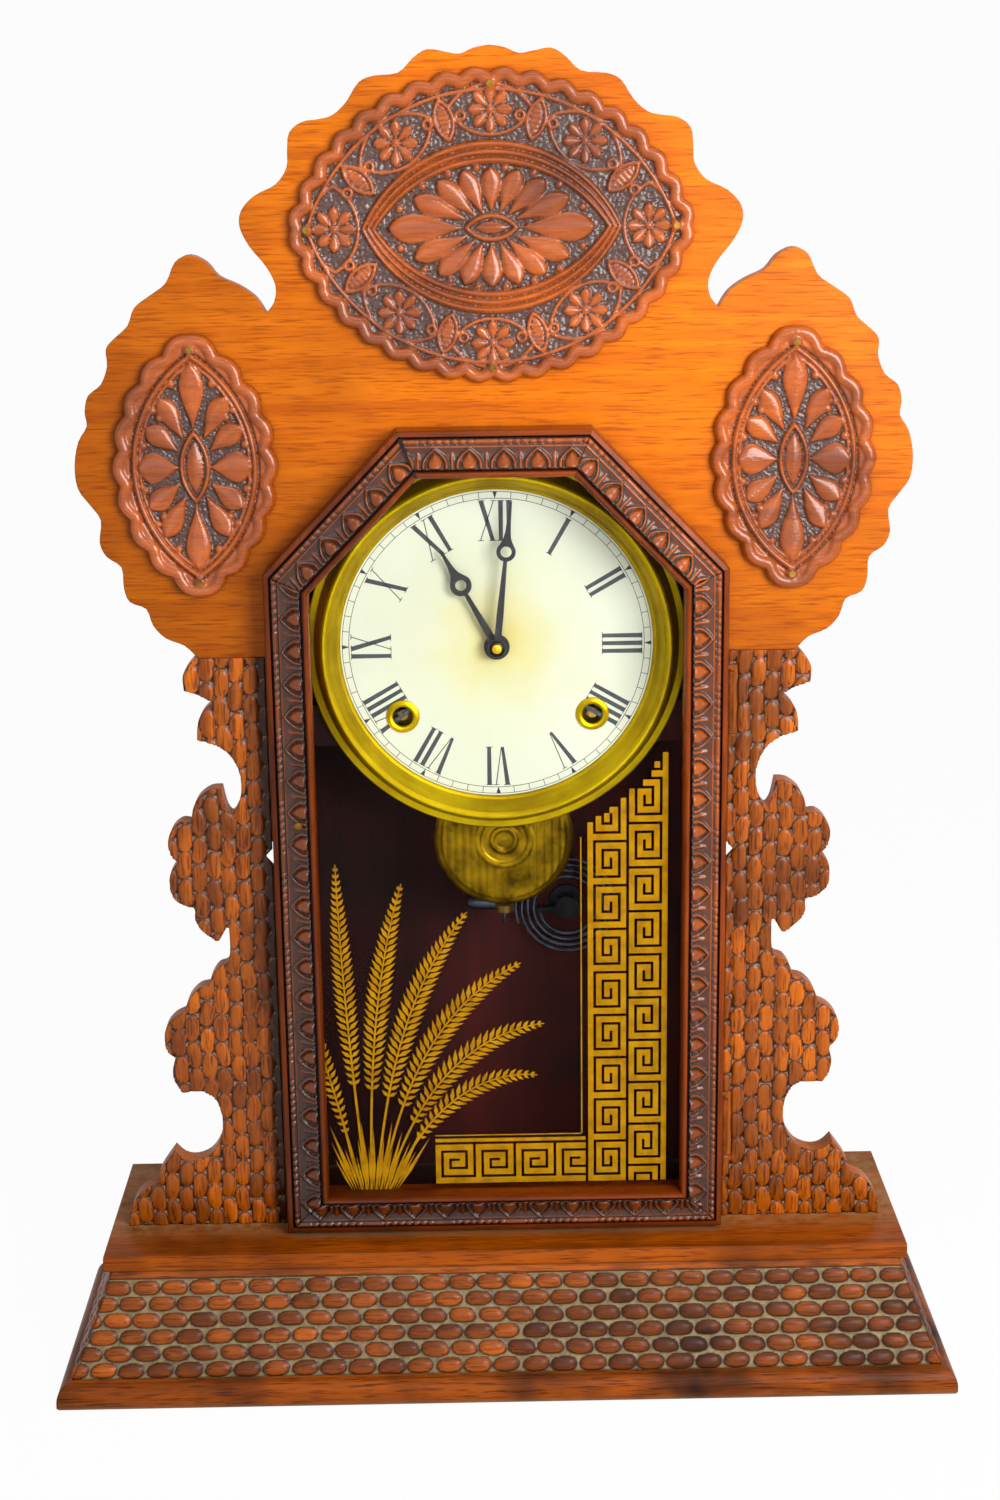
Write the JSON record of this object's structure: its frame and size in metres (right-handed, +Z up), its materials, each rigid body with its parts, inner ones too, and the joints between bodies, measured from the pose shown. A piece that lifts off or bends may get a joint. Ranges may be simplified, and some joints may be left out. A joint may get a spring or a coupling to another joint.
{
  "type": "shelf clock",
  "caption": "Pressed-oak shelf clock with scroll-cut crest and wings, carved medallions, glazed octagonal-top door, Roman dial, pendulum, striking movement and coiled gong.",
  "frame": {"origin": "on the floor under the middle of the clock's bounding box", "axes": "+Z up, the dial faces -Y, +X to the viewer's right"},
  "size_m": [0.3864, 0.114, 0.559],
  "materials": {
    "oak": "golden oak with a worn varnish",
    "dark_oak": "red-brown stained pressed oak",
    "pine": "raw pine",
    "stained_board": "dark stained board",
    "old_brass": "tarnished brass",
    "clock_brass": "dull clock brass",
    "blued_steel": "dark spring steel",
    "cast_iron": "black japanned iron",
    "hand_black": "black painted steel",
    "dial_paint": "ivory painted tin with black printing",
    "glass": "clear window glass with gilt decoration"
  },
  "bodies": {
    "case": {"crest_board": "oak", "left_wing": "oak", "right_wing": "oak", "crest_medallion": "dark_oak", "side_medallions": "dark_oak", "medallion_pins": "old_brass", "case_sides": "oak", "case_top": "oak", "back_board": "stained_board", "platform_board": "oak", "base_front_skirt": "oak", "base_side_skirts": "oak", "base_front_moulding": "dark_oak", "base_side_mouldings": "dark_oak", "base_glue_blocks": "pine", "dial_plate": "dial_paint", "dial_bezel": "old_brass", "winding_grommets": "old_brass", "dial_blocks": "pine", "movement_front_plate": "clock_brass", "movement_back_plate": "clock_brass", "movement_pillars": "clock_brass", "suspension_post": "clock_brass", "gong_base": "cast_iron", "gong_coil": "blued_steel", "hinge_case_leaves": "old_brass", "latch_keeper": "old_brass", "time_mainspring": "blued_steel", "strike_mainspring": "blued_steel"},
    "door": {"door_top_rail": "dark_oak", "door_diagonals": "dark_oak", "door_left_stile": "dark_oak", "door_right_stile": "dark_oak", "door_bottom_rail": "dark_oak", "door_glass": "glass", "glass_retainers": "dark_oak", "hinge_door_leaves": "old_brass"},
    "latch": {"latch_button": "old_brass"},
    "minute_works": {"minute_hand": "hand_black", "centre_arbor": "blued_steel"},
    "hour_works": {"hour_hand": "hand_black", "hour_wheel": "clock_brass"},
    "motion_wheel": {"minute_wheel": "clock_brass"},
    "time_great": {"time_great_wheel": "clock_brass"},
    "time_winder": {"time_winding_arbor": "blued_steel"},
    "time_second": {"second_wheel": "clock_brass"},
    "time_centre": {"centre_wheel": "clock_brass"},
    "time_third": {"third_wheel": "clock_brass"},
    "time_escape": {"escape_wheel": "clock_brass"},
    "verge_body": {"verge": "blued_steel"},
    "pendulum": {"pendulum_rod": "blued_steel", "pendulum_bob": "old_brass", "rating_nut": "old_brass"},
    "strike_great": {"strike_great_wheel": "clock_brass"},
    "strike_winder": {"strike_winding_arbor": "blued_steel"},
    "strike_second": {"strike_second_wheel": "clock_brass"},
    "strike_cam": {"strike_cam_wheel": "clock_brass"},
    "strike_count": {"count_wheel": "clock_brass"},
    "strike_fly": {"fly": "clock_brass"},
    "hammer_body": {"hammer": "blued_steel"}
  },
  "joints": [
    {"name": "door_hinge", "type": "hinge", "parent": "case", "child": "door", "pos_m": [0.0965, -0.009, 0.208], "axis": [0, 0, 1], "range_deg": [0, 95]},
    {"name": "latch_turn", "type": "hinge", "parent": "door", "child": "latch", "pos_m": [-0.0834, -0.02, 0.2498], "axis": [0, 1, 0], "range_deg": [0, 90]},
    {"name": "minute_hand_turn", "type": "hinge", "parent": "case", "child": "minute_works", "pos_m": [0, 0, 0.3185], "axis": [0, 1, 0], "continuous": true},
    {"name": "hour_hand_turn", "type": "hinge", "parent": "case", "child": "hour_works", "pos_m": [0, 0.008, 0.3185], "axis": [0, 1, 0], "continuous": true},
    {"name": "motion_wheel_turn", "type": "hinge", "parent": "case", "child": "motion_wheel", "pos_m": [-0.00688, 0.0165, 0.30867], "axis": [0, 1, 0], "continuous": true},
    {"name": "time_great_wheel_turn", "type": "hinge", "parent": "case", "child": "time_great", "pos_m": [0.04, 0.0407, 0.2882], "axis": [0, 1, 0], "continuous": true},
    {"name": "time_winding_turn", "type": "hinge", "parent": "case", "child": "time_winder", "pos_m": [0.04, 0.03, 0.2882], "axis": [0, 1, 0], "continuous": true},
    {"name": "second_wheel_turn", "type": "hinge", "parent": "case", "child": "time_second", "pos_m": [0.03506, 0.03, 0.31694], "axis": [0, 1, 0], "continuous": true},
    {"name": "centre_wheel_turn", "type": "hinge", "parent": "case", "child": "time_centre", "pos_m": [0, 0.023, 0.3185], "axis": [0, 1, 0], "continuous": true},
    {"name": "third_wheel_turn", "type": "hinge", "parent": "case", "child": "time_third", "pos_m": [0.01858, 0.03, 0.33251], "axis": [0, 1, 0], "continuous": true},
    {"name": "escape_wheel_turn", "type": "hinge", "parent": "case", "child": "time_escape", "pos_m": [0.002, 0.03, 0.33968], "axis": [0, 1, 0], "continuous": true},
    {"name": "verge_rock", "type": "hinge", "parent": "case", "child": "verge_body", "pos_m": [0.002, 0.025, 0.36018], "axis": [0, 1, 0], "range_deg": [-5.41, 5.41]},
    {"name": "pendulum_swing", "type": "hinge", "parent": "case", "child": "pendulum", "pos_m": [0.002, 0.013, 0.37], "axis": [0, 1, 0], "range_deg": [-3.5, 3.5]},
    {"name": "strike_great_wheel_turn", "type": "hinge", "parent": "case", "child": "strike_great", "pos_m": [-0.04, 0.0407, 0.2882], "axis": [0, 1, 0], "continuous": true},
    {"name": "strike_winding_turn", "type": "hinge", "parent": "case", "child": "strike_winder", "pos_m": [-0.04, 0.03, 0.2882], "axis": [0, 1, 0], "continuous": true},
    {"name": "strike_second_turn", "type": "hinge", "parent": "case", "child": "strike_second", "pos_m": [-0.03506, 0.03, 0.31694], "axis": [0, 1, 0], "continuous": true},
    {"name": "strike_cam_turn", "type": "hinge", "parent": "case", "child": "strike_cam", "pos_m": [-0.02466, 0.03, 0.33495], "axis": [0, 1, 0], "continuous": true},
    {"name": "count_wheel_turn", "type": "hinge", "parent": "case", "child": "strike_count", "pos_m": [-0.025, 0.017, 0.3385], "axis": [0, 1, 0], "continuous": true},
    {"name": "fly_turn", "type": "hinge", "parent": "case", "child": "strike_fly", "pos_m": [-0.02775, 0.03, 0.34948], "axis": [0, 1, 0], "continuous": true},
    {"name": "hammer_swing", "type": "hinge", "parent": "case", "child": "hammer_body", "pos_m": [-0.00445, 0.03, 0.294], "axis": [0, 1, 0], "range_deg": [-0.55, 8]}
  ],
  "couplings": [
    {"joint": "hour_hand_turn", "follows": "minute_hand_turn", "ratio": 0.083333},
    {"joint": "motion_wheel_turn", "follows": "minute_hand_turn", "ratio": -0.33333},
    {"joint": "time_great_wheel_turn", "follows": "second_wheel_turn", "ratio": -0.125},
    {"joint": "centre_wheel_turn", "follows": "second_wheel_turn", "ratio": -1.5},
    {"joint": "third_wheel_turn", "follows": "second_wheel_turn", "ratio": -13},
    {"joint": "escape_wheel_turn", "follows": "second_wheel_turn", "ratio": 173.33},
    {"joint": "strike_great_wheel_turn", "follows": "strike_second_turn", "ratio": -0.125},
    {"joint": "strike_cam_turn", "follows": "strike_second_turn", "ratio": -9},
    {"joint": "fly_turn", "follows": "strike_second_turn", "ratio": 90},
    {"joint": "count_wheel_turn", "follows": "strike_second_turn", "ratio": -0.11111},
    {"joint": "verge_rock", "follows": "pendulum_swing", "ratio": 1.5457}
  ]
}
